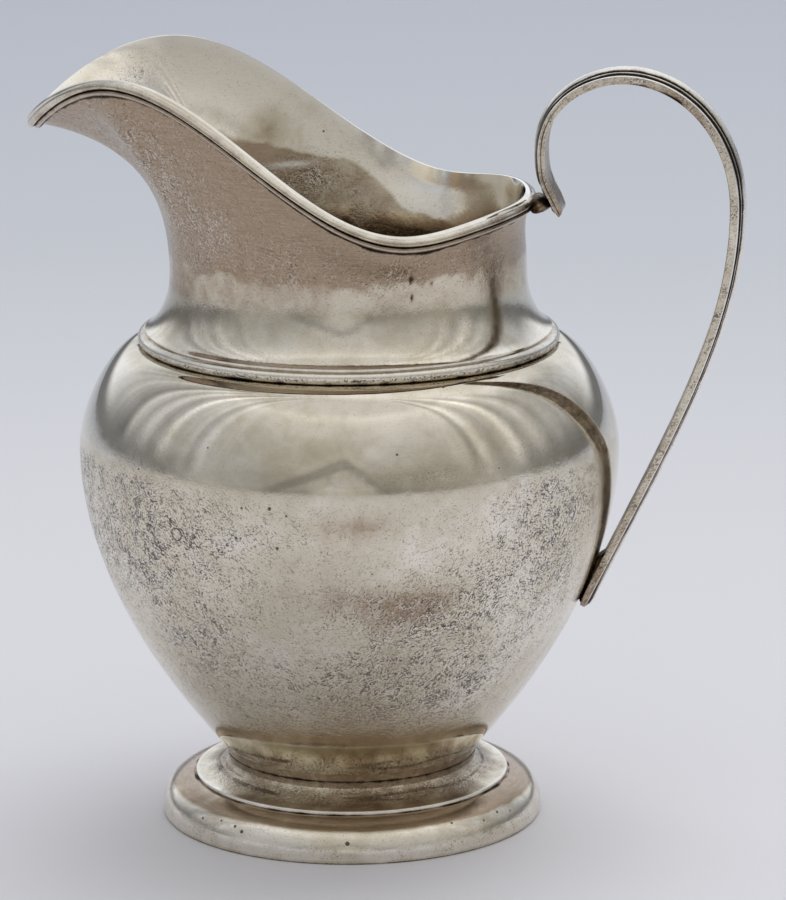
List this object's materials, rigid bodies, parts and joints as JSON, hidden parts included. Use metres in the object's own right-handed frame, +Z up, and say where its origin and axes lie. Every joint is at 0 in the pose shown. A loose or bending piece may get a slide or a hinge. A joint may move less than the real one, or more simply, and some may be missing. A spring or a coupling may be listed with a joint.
{
  "type": "cream jug",
  "caption": "Round-bellied silver cream jug on a stepped foot, with a waisted neck, drooping spout, reeded rim and looped reeded strap handle.",
  "frame": {"origin": "centre of the foot, on the table", "axes": "+Z up, +X towards the handle, -X towards the spout, mirror plane XZ"},
  "size_m": [0.1022, 0.0772, 0.1096],
  "materials": {
    "silver": "old polished silver, tarnished and finely pitted",
    "solder": "dull, dark silver solder"
  },
  "bodies": {
    "root": {"bowl": "silver", "neck_spout": "silver", "rim_wire": "silver", "girdle_wire": "silver", "foot_spool": "silver", "foot_ring": "silver", "foot_solder": "solder", "handle_strap": "silver", "lip_solder": "solder", "handle_solder": "solder"}
  },
  "joints": []
}
